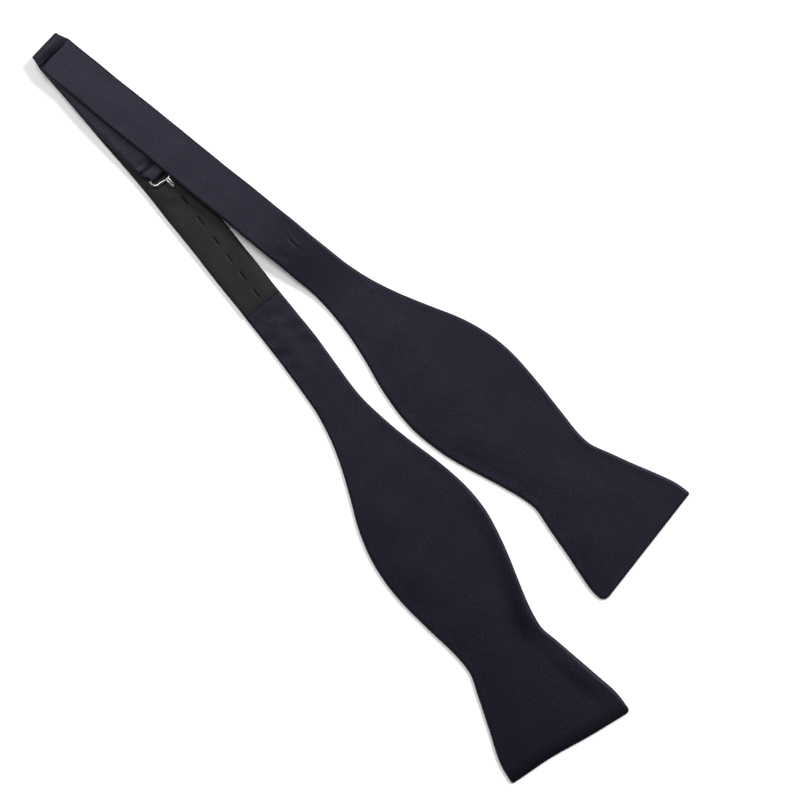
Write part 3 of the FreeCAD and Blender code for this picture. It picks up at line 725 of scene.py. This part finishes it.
class Tape:
    """The tape as it lies along the long half's band, with its slits."""

    def __init__(self):
        loops = closed_loops(border_edges("slotted_tape", 1))
        sides = two_sides(loops[0])
        self.length = run_lengths((sides[LEFT][[0, -1]] + sides[RIGHT][[0, -1]]) / 2)[-1]
        self.rows = np.linspace(0, 1, round(self.length / TAPE_STEP) + 1)
        self.left, self.right = (self.spread(sides[side]) for side in (LEFT, RIGHT))
        self.middle = (self.left + self.right) / 2
        self.run = run_lengths(self.middle)
        self.half_width = np.linalg.norm(self.left - self.right, axis=1) / 2
        self.band_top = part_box("slotted_tape")[0].z
        self.stem = self.place(stem_place())
        self.slits = [[self.place(loop[k]) for k in (loop[:, 0].argmin(), loop[:, 0].argmax())]
                      for loop in loops[1:]]

    def spread(self, side):
        run = run_lengths(side)
        return np.stack([np.interp(self.rows * run[-1], run, side[:, i]) for i in (0, 1)], -1)

    def place(self, point):
        """Run from the tape's -X end, and offset to the left of its middle."""
        nearest = np.argmin(np.linalg.norm(self.middle - point, axis=1))
        left = unit(self.left[nearest] - self.middle[nearest])
        return self.run[nearest], (point - self.middle[nearest]) @ left

    def slit_line(self):
        """Offset of the row of slits, at every row."""
        middles = sorted(tuple(np.mean(slit, axis=0)) for slit in self.slits)
        runs, offsets = zip(*middles)
        return np.interp(self.run, runs, offsets)

    def opening(self):
        """Half the width of the slits, row by row, and next to none between them."""
        gap = np.full(len(self.run), CLOSED)
        for (start, _), (stop, _) in self.slits:
            share = (2 * self.run - start - stop) / (stop - start)
            gap += SLIT_OPENING / 2 * np.sqrt(np.clip(1 - share ** 2, 0, 1))
        eye = np.sqrt(np.clip(STEM_EYE ** 2 - (self.run - self.stem[0]) ** 2, 0, None))
        return np.maximum(gap, eye)

    def height(self, run, offset):
        """Height of the tape's face: sewn down at its edges, lifted over the hook's head
        and rippled by its pull."""
        beside = self.half_width.min() - np.abs(offset)
        edge = np.minimum(beside, np.minimum(run, self.length - run))
        top = self.band_top + TAPE_LEVEL - HEM_DROP * hill(edge, 1.6 * MM)
        from_stem = np.hypot(run - self.stem[0], offset - self.stem[1])
        top += HEAD_BUMP * hill(from_stem, 7 * MM)
        ripple = 0.5 + 0.5 * noise_field(run, offset, 8 * MM, 21)
        top += PULL_RIPPLE * ripple * hill(run - self.stem[0], 22 * MM) * smooth(edge / (3 * MM))
        top += WAVINESS * (1 + noise_field(run, offset, 22 * MM, 22)) * smooth(edge / (4 * MM))
        return top

    def surface(self, points):
        """Height of the tape's face at points given from above."""
        run, offset = np.array([self.place(point) for point in points]).T
        return self.height(run, offset)


def stem_place():
    """Where the hook's stem stands: the hook turns about it."""
    return joint_place("hook_swivel")[:2]


def slotted_tape(tape):
    """The tape, with every slit cut right through."""
    gap = tape.opening()
    half_width, line = tape.half_width[:, None], tape.slit_line()[:, None]
    wing = np.linspace(0, 1, 14) ** 0.85
    slit_left, slit_right = line + gap[:, None], line - gap[:, None]
    offset = np.hstack([slit_right - wing[::-1] * (half_width + slit_right),
                        slit_left + wing * (half_width - slit_left)])
    share = (1 + offset / half_width)[..., None] / 2
    plan = tape.left[:, None] * share + tape.right[:, None] * (1 - share)
    run = np.broadcast_to(tape.run[:, None], offset.shape)
    points = np.dstack([plan, tape.height(run, offset)])
    keep = np.ones(np.subtract(offset.shape, 1), bool)
    open_rows = gap > 2 * CLOSED
    keep[:, len(wing) - 1] = ~(open_rows[1:] & open_rows[:-1])
    piece = grid_object("tape_ribbon", points, np.dstack([run, offset]), keep=keep)
    thicken(piece, TAPE_THICKNESS)
    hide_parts("slotted_tape")
    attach(piece, "long_half")
    dress(piece, black_ribbon)


# Stitches -------------------------------------------------------------------------------

STITCH_WIDTH = 0.34 * MM
STITCH_ARCH = 0.14 * MM
STITCH_SHARES = np.linspace(-1, 1, 7)


def stitch(middle, along, length):
    """One stitch: a short arch of thread whose ends go down into the cloth."""
    rise = STITCH_ARCH * (1 - STITCH_SHARES ** 4) - 0.5 * STITCH_WIDTH * STITCH_SHARES ** 6
    centres = middle + along * STITCH_SHARES[:, None] * length / 2 + UP * rise[:, None]
    slim = np.sqrt(np.clip(1.05 - STITCH_SHARES ** 4, 0, 1))
    return bar(centres, np.cross(along, UP), UP, STITCH_WIDTH * slim, STITCH_WIDTH * slim, 8, 1.0)


def stitching(node, body, material, surface):
    """Thread in place of each CAD stitch of a node, on a surface of given height."""
    parts = []
    for loop in closed_loops(border_edges(node, 1)):
        sides = np.roll(loop, -1, axis=0) - loop
        longest = sides[np.argmax(np.linalg.norm(sides, axis=1))]
        centre = loop.mean(0)
        middle = np.array([*centre, surface(centre[None])[0]])
        parts.append(stitch(middle, np.array([*unit(longest), 0.0]), np.linalg.norm(longest)))
    piece = joined(f"{node}_thread", parts)
    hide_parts(node)
    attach(piece, body)
    dress(piece, material)


# The extension strip --------------------------------------------------------------------

PLY = 0.3 * MM
BAR_RADIUS = 0.4 * MM
LOOP_GAP = 0.12 * MM
LOOP_RADIUS = BAR_RADIUS + LOOP_GAP + PLY
LOOP_HALF_WIDTH = 7.1 * MM
HOOK_END_HALF = 9.4 * MM
FULL_HALF_WIDTH = 11.4 * MM
FOLD_HALF_WIDTH = 9.5 * MM
TAIL = 6.2 * MM
SHOULDER = 5.5 * MM
EXTENSION_ROLL = 0.9 * MM
SEAM_OVERLAP = 2.5 * MM
SEAM_VALLEY = 0.6 * MM
STACK_HALF = 0.68 * MM
STITCH_LINE = 6.6 * MM
CREASE_DEPTH = 0.42 * MM


class Extension:
    """The strip from the loop round the hook's bar, back to the fold, over it and into
    the short half's neck end. Its line is kept as centres with a normal and a half width."""

    def __init__(self, short_half):
        self.bar, self.fold = joint_place("hook_rock"), joint_place("neck_fold")
        self.to_bar = unit(np.append(self.bar[:2] - self.fold[:2], 0))
        self.bar_line = np.array([-self.to_bar[1], self.to_bar[0], 0])
        self.fold_line = -np.array(JOINTS["neck_fold"]["axis"])
        corners = [short_half.side(side, np.array([0.0]))[0] for side in (LEFT, RIGHT)]
        self.seam = np.append(sum(corners) / 2, 2 * self.fold[2] - self.bar[2])
        self.seam_line = np.append(unit(corners[0] - corners[1]), 0)
        self.seam_half = np.linalg.norm(corners[0] - corners[1]) / 2
        self.length = np.linalg.norm(self.bar[:2] - self.fold[:2])
        self.stations = self.tail() + self.loop() + self.run() + self.turn() + self.tab()

    def station(self, centre, normal, across, half_width, half_height):
        return centre, normal, unit(across), half_width, half_height

    def tail(self):
        stations = []
        for back in np.linspace(TAIL, 0.3 * MM, 8):
            centre = self.bar - self.to_bar * back - UP * LOOP_RADIUS
            stations.append(self.station(centre, -UP, self.bar_line, LOOP_HALF_WIDTH, PLY))
        return stations

    def loop(self):
        stations = []
        for angle in np.radians(np.linspace(-90, 90, 13)):
            out = self.to_bar * math.cos(angle) + UP * math.sin(angle)
            centre = self.bar + out * LOOP_RADIUS
            stations.append(self.station(centre, out, self.bar_line, LOOP_HALF_WIDTH, PLY))
        return stations

    def run(self):
        """Back from the bar, spreading to full width and thickening over the tail."""
        stations = []
        near = np.arange(0.5 * MM, 12 * MM, 0.5 * MM)
        for back in np.append(near, np.linspace(12 * MM, self.length, 70)):
            closing = smooth((back - 2.5 * MM) / (5 * MM))
            centre = self.bar - self.to_bar * back + UP * LOOP_RADIUS * (1 - closing)
            toward_fold = smooth(back / self.length)
            across = self.bar_line * (1 - toward_fold) + self.fold_line * toward_fold
            width = self.run_half_width(back)
            height = PLY + (STACK_HALF - PLY) * closing
            stations.append(self.station(centre, UP, across, width, height))
        return stations

    def run_half_width(self, back):
        """Half the strip's width at a distance back from the bar: narrow in the loop,
        widest midway and pinched again at the fold."""
        stops = np.array([0, 0.25, 1, 1.8]) * SHOULDER
        widths = [LOOP_HALF_WIDTH, LOOP_HALF_WIDTH, HOOK_END_HALF, HOOK_END_HALF + 0.5 * MM]
        if back < stops[-1]:
            return float(np.interp(back, stops, widths))
        share = (back - stops[-1]) / (self.length - stops[-1])
        ends = widths[-1] * (1 - share) + FOLD_HALF_WIDTH * share
        return ends + (FULL_HALF_WIDTH - (widths[-1] + FOLD_HALF_WIDTH) / 2) * math.sin(math.pi * share)

    def turn(self):
        """The half turn about the fold's axis."""
        radius = self.fold[2] - self.bar[2]
        out = np.array([-self.fold_line[1], self.fold_line[0], 0])
        stations = []
        for angle in np.radians(np.linspace(0, 180, 25)[1:-1]):
            toward = out * math.sin(angle) - UP * math.cos(angle)
            centre = self.fold + toward * radius
            stations.append(self.station(centre, -toward, self.fold_line, FOLD_HALF_WIDTH, STACK_HALF))
        return stations

    def tab(self):
        start = self.fold * [1, 1, 0] + UP * self.seam[2]
        stop = self.seam + unit(self.seam - start) * SEAM_OVERLAP
        stations = []
        for share in np.linspace(0, 1, 20):
            centre = start + (stop - start) * share
            across = self.fold_line * (1 - share) + self.seam_line * share
            spread = min(1.0, share * (1 + SEAM_OVERLAP / np.linalg.norm(self.seam - start)))
            width = FOLD_HALF_WIDTH + (self.seam_half - 0.15 * MM - FOLD_HALF_WIDTH) * spread
            tuck = smooth((share - 0.55) / 0.45)
            height = STACK_HALF * (1 - 0.35 * tuck)
            stations.append(self.station(centre, -UP, across, width, height))
        return stations


def seam_hollow(extension, level, normal, t):
    """Depth of the valley before the neck seam, and how much painted shade darkens the cloth deep in it.
    """
    on_tab = (normal[:, 2] < -0.9)[:, None]
    to_seam = (extension.seam - level) @ extension.to_bar
    valley = SEAM_VALLEY * (1 + 0.45 * hill(t + 0.2, 0.4)) * smooth(1 - to_seam / (4.5 * MM)) * on_tab
    lower = 0.12 + 0.3 * hill(t + 0.15, 0.5)
    # Painted shade in the valley before the neck seam, strongest at the seam and on the lower side.
    crease = (0.9 * hill(to_seam, 0.55 * MM) + lower * hill(to_seam, 3.2 * MM)) * on_tab
    return valley, crease


def stitch_pull(extension, level, normal, run, offset, edge):
    """How far the loop's stitches pinch the strip, and the ripples that they pull in it."""
    from_bar = (extension.bar - level) @ extension.to_bar
    on_run = smooth((from_bar - 3 * MM) / (2 * MM)) * (normal[:, 2] > 0.9)[:, None]
    pinch = hill(from_bar - STITCH_LINE, 0.8 * MM) * on_run
    pull = 0.06 * MM + 0.16 * MM * hill(from_bar - STITCH_LINE, 7 * MM)
    ripple = pull * noise_field(run, offset, 7 * MM, 31) * smooth(edge / (2 * MM)) * on_run
    return pinch, ripple


def all_round(front, back):
    """Columns across a flat tube's front, then back again across its other side."""
    return np.concatenate([front, back[:, ::-1][:, 1:-1]], axis=1)


def extension_strip(extension):
    """The strip as one closed flattened tube of cloth."""
    centre, normal, across, half_width, half_height = (np.array(c) for c in zip(*extension.stations))
    t = across_places(28)
    offset = t * half_width[:, None]
    edge = (1 - np.abs(t)) * half_width[:, None]
    roll = rounded(edge / EXTENSION_ROLL)
    depth = half_height[:, None] * roll
    run = np.broadcast_to(run_lengths(centre)[:, None], offset.shape)
    level = centre[:, None] + across[:, None] * offset[..., None]
    valley, crease = seam_hollow(extension, level, normal, t)
    pinch, ripple = stitch_pull(extension, level, normal, run, offset, edge)
    # Painted shade in the valley before the neck seam and along the pinch of the loop's stitches.
    crease = np.clip(np.maximum(crease, 0.6 * pinch), 0, 1)
    front = level + normal[:, None] * (depth - CREASE_DEPTH * pinch + ripple)[..., None]
    back = level - normal[:, None] * (depth - valley * roll)[..., None]
    ring = all_round(front, back)
    uv = np.dstack([run, offset])
    piece = mesh_object("extension_strip", ring.reshape(-1, 3), tube_faces(*ring.shape[:2]),
                        all_round(uv, uv).reshape(-1, 2), all_round(crease, crease))
    make_outward(piece)
    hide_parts("extension_return", "extension_fold", "extension_tab")
    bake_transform(piece)
    dress(piece, satin_cloth)


def make_outward(piece):
    """Turns a closed mesh's faces so that they look outward."""
    mesh = bmesh.new()
    mesh.from_mesh(piece.data)
    bmesh.ops.recalc_face_normals(mesh, faces=mesh.faces)
    mesh.to_mesh(piece.data)
    mesh.free()


# The hook -------------------------------------------------------------------------------

HOOK_HALF = 9.0 * MM
HOOK_METAL = 0.8 * MM
ARM_WIDTH = 1.6 * MM
OUTER_BAR = 2.0 * MM
OUTER_REACH = 5.1 * MM
CROWN = 0.9 * MM
HOOK_CORNER = 3.4 * MM
TONGUE_WIDTH = 2.6 * MM
STEM_RADIUS = 0.8 * MM
HEAD_HALF = 3.1 * MM
HEAD_WIDTH = 2.2 * MM
HEAD_THICKNESS = 0.34 * MM
STRIP_SHARE = 0.75


class HookFrame:
    """The hook's own axes: x from the inner bar to the stem, y along the bar, z up."""

    def __init__(self):
        self.origin = joint_place("hook_rock")
        self.y = np.array(JOINTS["hook_rock"]["axis"])
        self.z = UP
        self.x = np.cross(self.y, self.z)
        self.axes = np.stack([self.x, self.y, self.z])
        self.reach = float((np.append(stem_place(), self.origin[2]) - self.origin) @ self.x)

    def points(self, local):
        return self.origin + self.directions(local)

    def directions(self, local):
        return np.atleast_2d(local) @ self.axes


def arm_and_outer_bar(hook):
    """One stamped strip from an arm's end, round both corners, to the other arm's end."""
    middle = HOOK_HALF - ARM_WIDTH / 2
    out = OUTER_REACH - OUTER_BAR / 2
    corner = HOOK_CORNER - ARM_WIDTH / 2
    straight = middle - corner
    arm = [(x, middle) for x in np.linspace(-0.3 * MM, out - corner, 6)]
    bend = [(out - corner + corner * math.sin(a), straight + corner * math.cos(a))
            for a in np.radians(np.linspace(0, 90, 9))[1:]]
    crown = [(out + CROWN * smooth(1 - y / straight), y) for y in np.linspace(straight, 0, 14)[1:]]
    half = arm + bend + crown
    line = np.array(half + [(x, -y) for x, y in half[-2::-1]])
    ahead = np.gradient(line, axis=0)
    ahead /= np.linalg.norm(ahead, axis=1)[:, None]
    sideways = np.stack([-ahead[:, 1], ahead[:, 0], np.zeros(len(line))], -1)
    widths = STRIP_SHARE * (ARM_WIDTH + (OUTER_BAR - ARM_WIDTH) * smooth(line[:, 0] / out))
    centres = np.column_stack([line, np.zeros(len(line))])
    return bar(hook.points(centres), hook.directions(sideways), hook.z, widths, HOOK_METAL, 20, 0.9)


def tongue(hook, side):
    """One of the two ridges pressed along the tongue, which bends down into the stem."""
    x = np.linspace(OUTER_REACH - 0.4 * OUTER_BAR, hook.reach + 0.9 * MM, 16)
    share = (x - x[0]) / (x[-1] - x[0])
    y = side * (TONGUE_WIDTH / 4) * (1 - 0.35 * share ** 3)
    z = 0.18 * MM * np.sin(math.pi * share) - 0.35 * MM * share ** 6
    centres = np.column_stack([x, y, z])
    widths = TONGUE_WIDTH / 2 * np.sqrt(np.clip(1.04 - share ** 8, 0, 1)) * 1.04
    return bar(hook.points(centres), hook.y, hook.z, widths, HOOK_METAL * 0.95, 16, 0.8)


def stem_and_head(hook, head_level):
    """The stem down through the slit and the crosswise head that holds under the tape."""
    drop = head_level + HEAD_THICKNESS / 2 - hook.origin[2]
    z = np.linspace(0, drop, 8)
    down = np.column_stack([np.full(8, hook.reach), np.zeros(8), z])
    width = 2 * STEM_RADIUS * (1 + 0.25 * hill(z - drop, 0.4 * MM))
    stem = bar(hook.points(down), hook.y, hook.x, width, width, 16, 1.0)
    y = np.linspace(-HEAD_HALF, HEAD_HALF, 15)
    across = np.column_stack([np.full(15, hook.reach), y, np.full(15, drop)])
    round_end = np.sqrt(np.clip(1 - (np.abs(y) / HEAD_HALF) ** 6, 0.04, 1))
    head = bar(hook.points(across), hook.x, hook.z, HEAD_WIDTH * round_end,
               HEAD_THICKNESS * (0.4 + 0.6 * round_end), 14, 0.7)
    return [stem, head]


def inner_bar(hook):
    y = np.linspace(-HOOK_HALF + ARM_WIDTH / 2, HOOK_HALF - ARM_WIDTH / 2, 9)
    line = np.column_stack([np.zeros(9), y, np.zeros(9)])
    return bar(hook.points(line), hook.x, hook.z, 2 * BAR_RADIUS, 2 * BAR_RADIUS, 14, 1.0)


def metal_hook():
    hook = HookFrame()
    parts = [arm_and_outer_bar(hook), tongue(hook, LEFT), tongue(hook, RIGHT), inner_bar(hook)]
    parts += stem_and_head(hook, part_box("hook")[0].z)
    piece = joined("hook_metal", parts)
    make_outward(piece)
    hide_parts("hook")
    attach(piece, "hook")
    dress(piece, silver)


# All the pieces -------------------------------------------------------------------------

def level_at(height):
    """A surface that is level at one height."""
    return lambda points: np.full(len(points), height)


long_half, short_half = Half("long"), Half("short")
long_lay, short_lay = Lay(long_half), Lay(short_half)
long_lay.sway(-END_SWAY * hill(long_lay.t + 0.3, 0.45), long_lay.to_end)
short_lay.sway(NECK_SWAY * np.sin(math.pi * short_lay.t), short_lay.run)
# Painted shade on the long half: under the tape, inside its ridges and on its rolled end edge.
long_painted_shade = np.maximum(painted_shade_under_tape(long_lay), painted_shade_hollows(long_lay))
half_pieces(long_lay, long_details(long_lay), long_painted_shade)
half_pieces(short_lay, short_details(short_lay), painted_neck_seam_shade(short_lay))
tape = Tape()
slotted_tape(tape)
extension = Extension(short_half)
extension_strip(extension)
metal_hook()

face_of_return = extension.bar[2] + STACK_HALF - CREASE_DEPTH
under_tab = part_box("centre_seam_stitching")[0].z
stitching("tape_stitching", "long_half", black_thread, tape.surface)
stitching("loop_stitching", "neck_return", navy_thread, level_at(face_of_return))
stitching("centre_seam_stitching", "short_half", navy_thread, level_at(under_tab))


# Floor, light and camera ----------------------------------------------------------------

VIEW_TURN = math.radians(46.4)
VIEW_CENTRE = Vector((32.0, 10.2, 2.0)) * MM
VIEW_WIDTH = 436 * MM
LENS = 85.0
HORIZON, ZENITH = 0.6, 0.16
LAMP_SIZE = 0.6
LAMPS = {"key": ((0.15, 1.5, 1.3), 42), "sheen": ((-0.66, 0.2, 1.15), 10.5)}


def floor():
    bpy.ops.mesh.primitive_plane_add(size=6)
    plane = bpy.context.object
    plane.name = "floor"
    shader = Shader("PaleFloor")
    noise = shader.add("ShaderNodeTexNoise", Scale=3.0, Detail=2.0)
    base = shader.ramp(noise, "Fac", [(0.0, (0.86, 0.86, 0.86)), (1.0, (0.88, 0.88, 0.88))])
    shader.link(base, "Color", shader.surface, "Base Color")
    shader.set(Roughness=0.9, Specular_IOR_Level=0.1)
    plane.data.materials.append(shader.material)


def area_light(name, place, power):
    light = bpy.data.lights.new(name, "AREA")
    light.shape = "DISK"
    light.size = LAMP_SIZE
    light.energy = power
    lamp = bpy.data.objects.new(name, light)
    lamp.location = place
    lamp.rotation_euler = (VIEW_CENTRE - Vector(place)).to_track_quat("-Z", "Y").to_euler()
    bpy.context.scene.collection.objects.link(lamp)


def studio_world():
    """Soft white surroundings, brightest near the horizon."""
    world = bpy.data.worlds.new("Studio")
    world.use_nodes = True
    nodes, links = world.node_tree.nodes, world.node_tree.links
    background = nodes["Background"]
    place = nodes.new("ShaderNodeTexCoord")
    split = nodes.new("ShaderNodeSeparateXYZ")
    fade = nodes.new("ShaderNodeMapRange")
    fade.inputs["From Min"].default_value = 0.35
    fade.inputs["From Max"].default_value = 0.95
    fade.inputs["To Min"].default_value = HORIZON
    fade.inputs["To Max"].default_value = ZENITH
    links.new(place.outputs["Generated"], split.inputs["Vector"])
    links.new(split.outputs["Z"], fade.inputs["Value"])
    links.new(fade.outputs["Result"], background.inputs["Strength"])
    background.inputs["Color"].default_value = (1, 1, 1, 1)
    bpy.context.scene.world = world


def studio():
    floor()
    studio_world()
    bpy.context.scene.view_settings.view_transform = "Standard"
    for name, (place, power) in LAMPS.items():
        area_light(name, place, power)
    camera_data = bpy.data.cameras.new("camera")
    camera_data.lens = LENS
    camera = bpy.data.objects.new("camera", camera_data)
    distance = VIEW_WIDTH * LENS / camera_data.sensor_width
    camera.location = VIEW_CENTRE + Vector((0, 0, distance))
    camera.rotation_euler = (0, 0, VIEW_TURN)
    bpy.context.scene.collection.objects.link(camera)
    bpy.context.scene.camera = camera


studio()
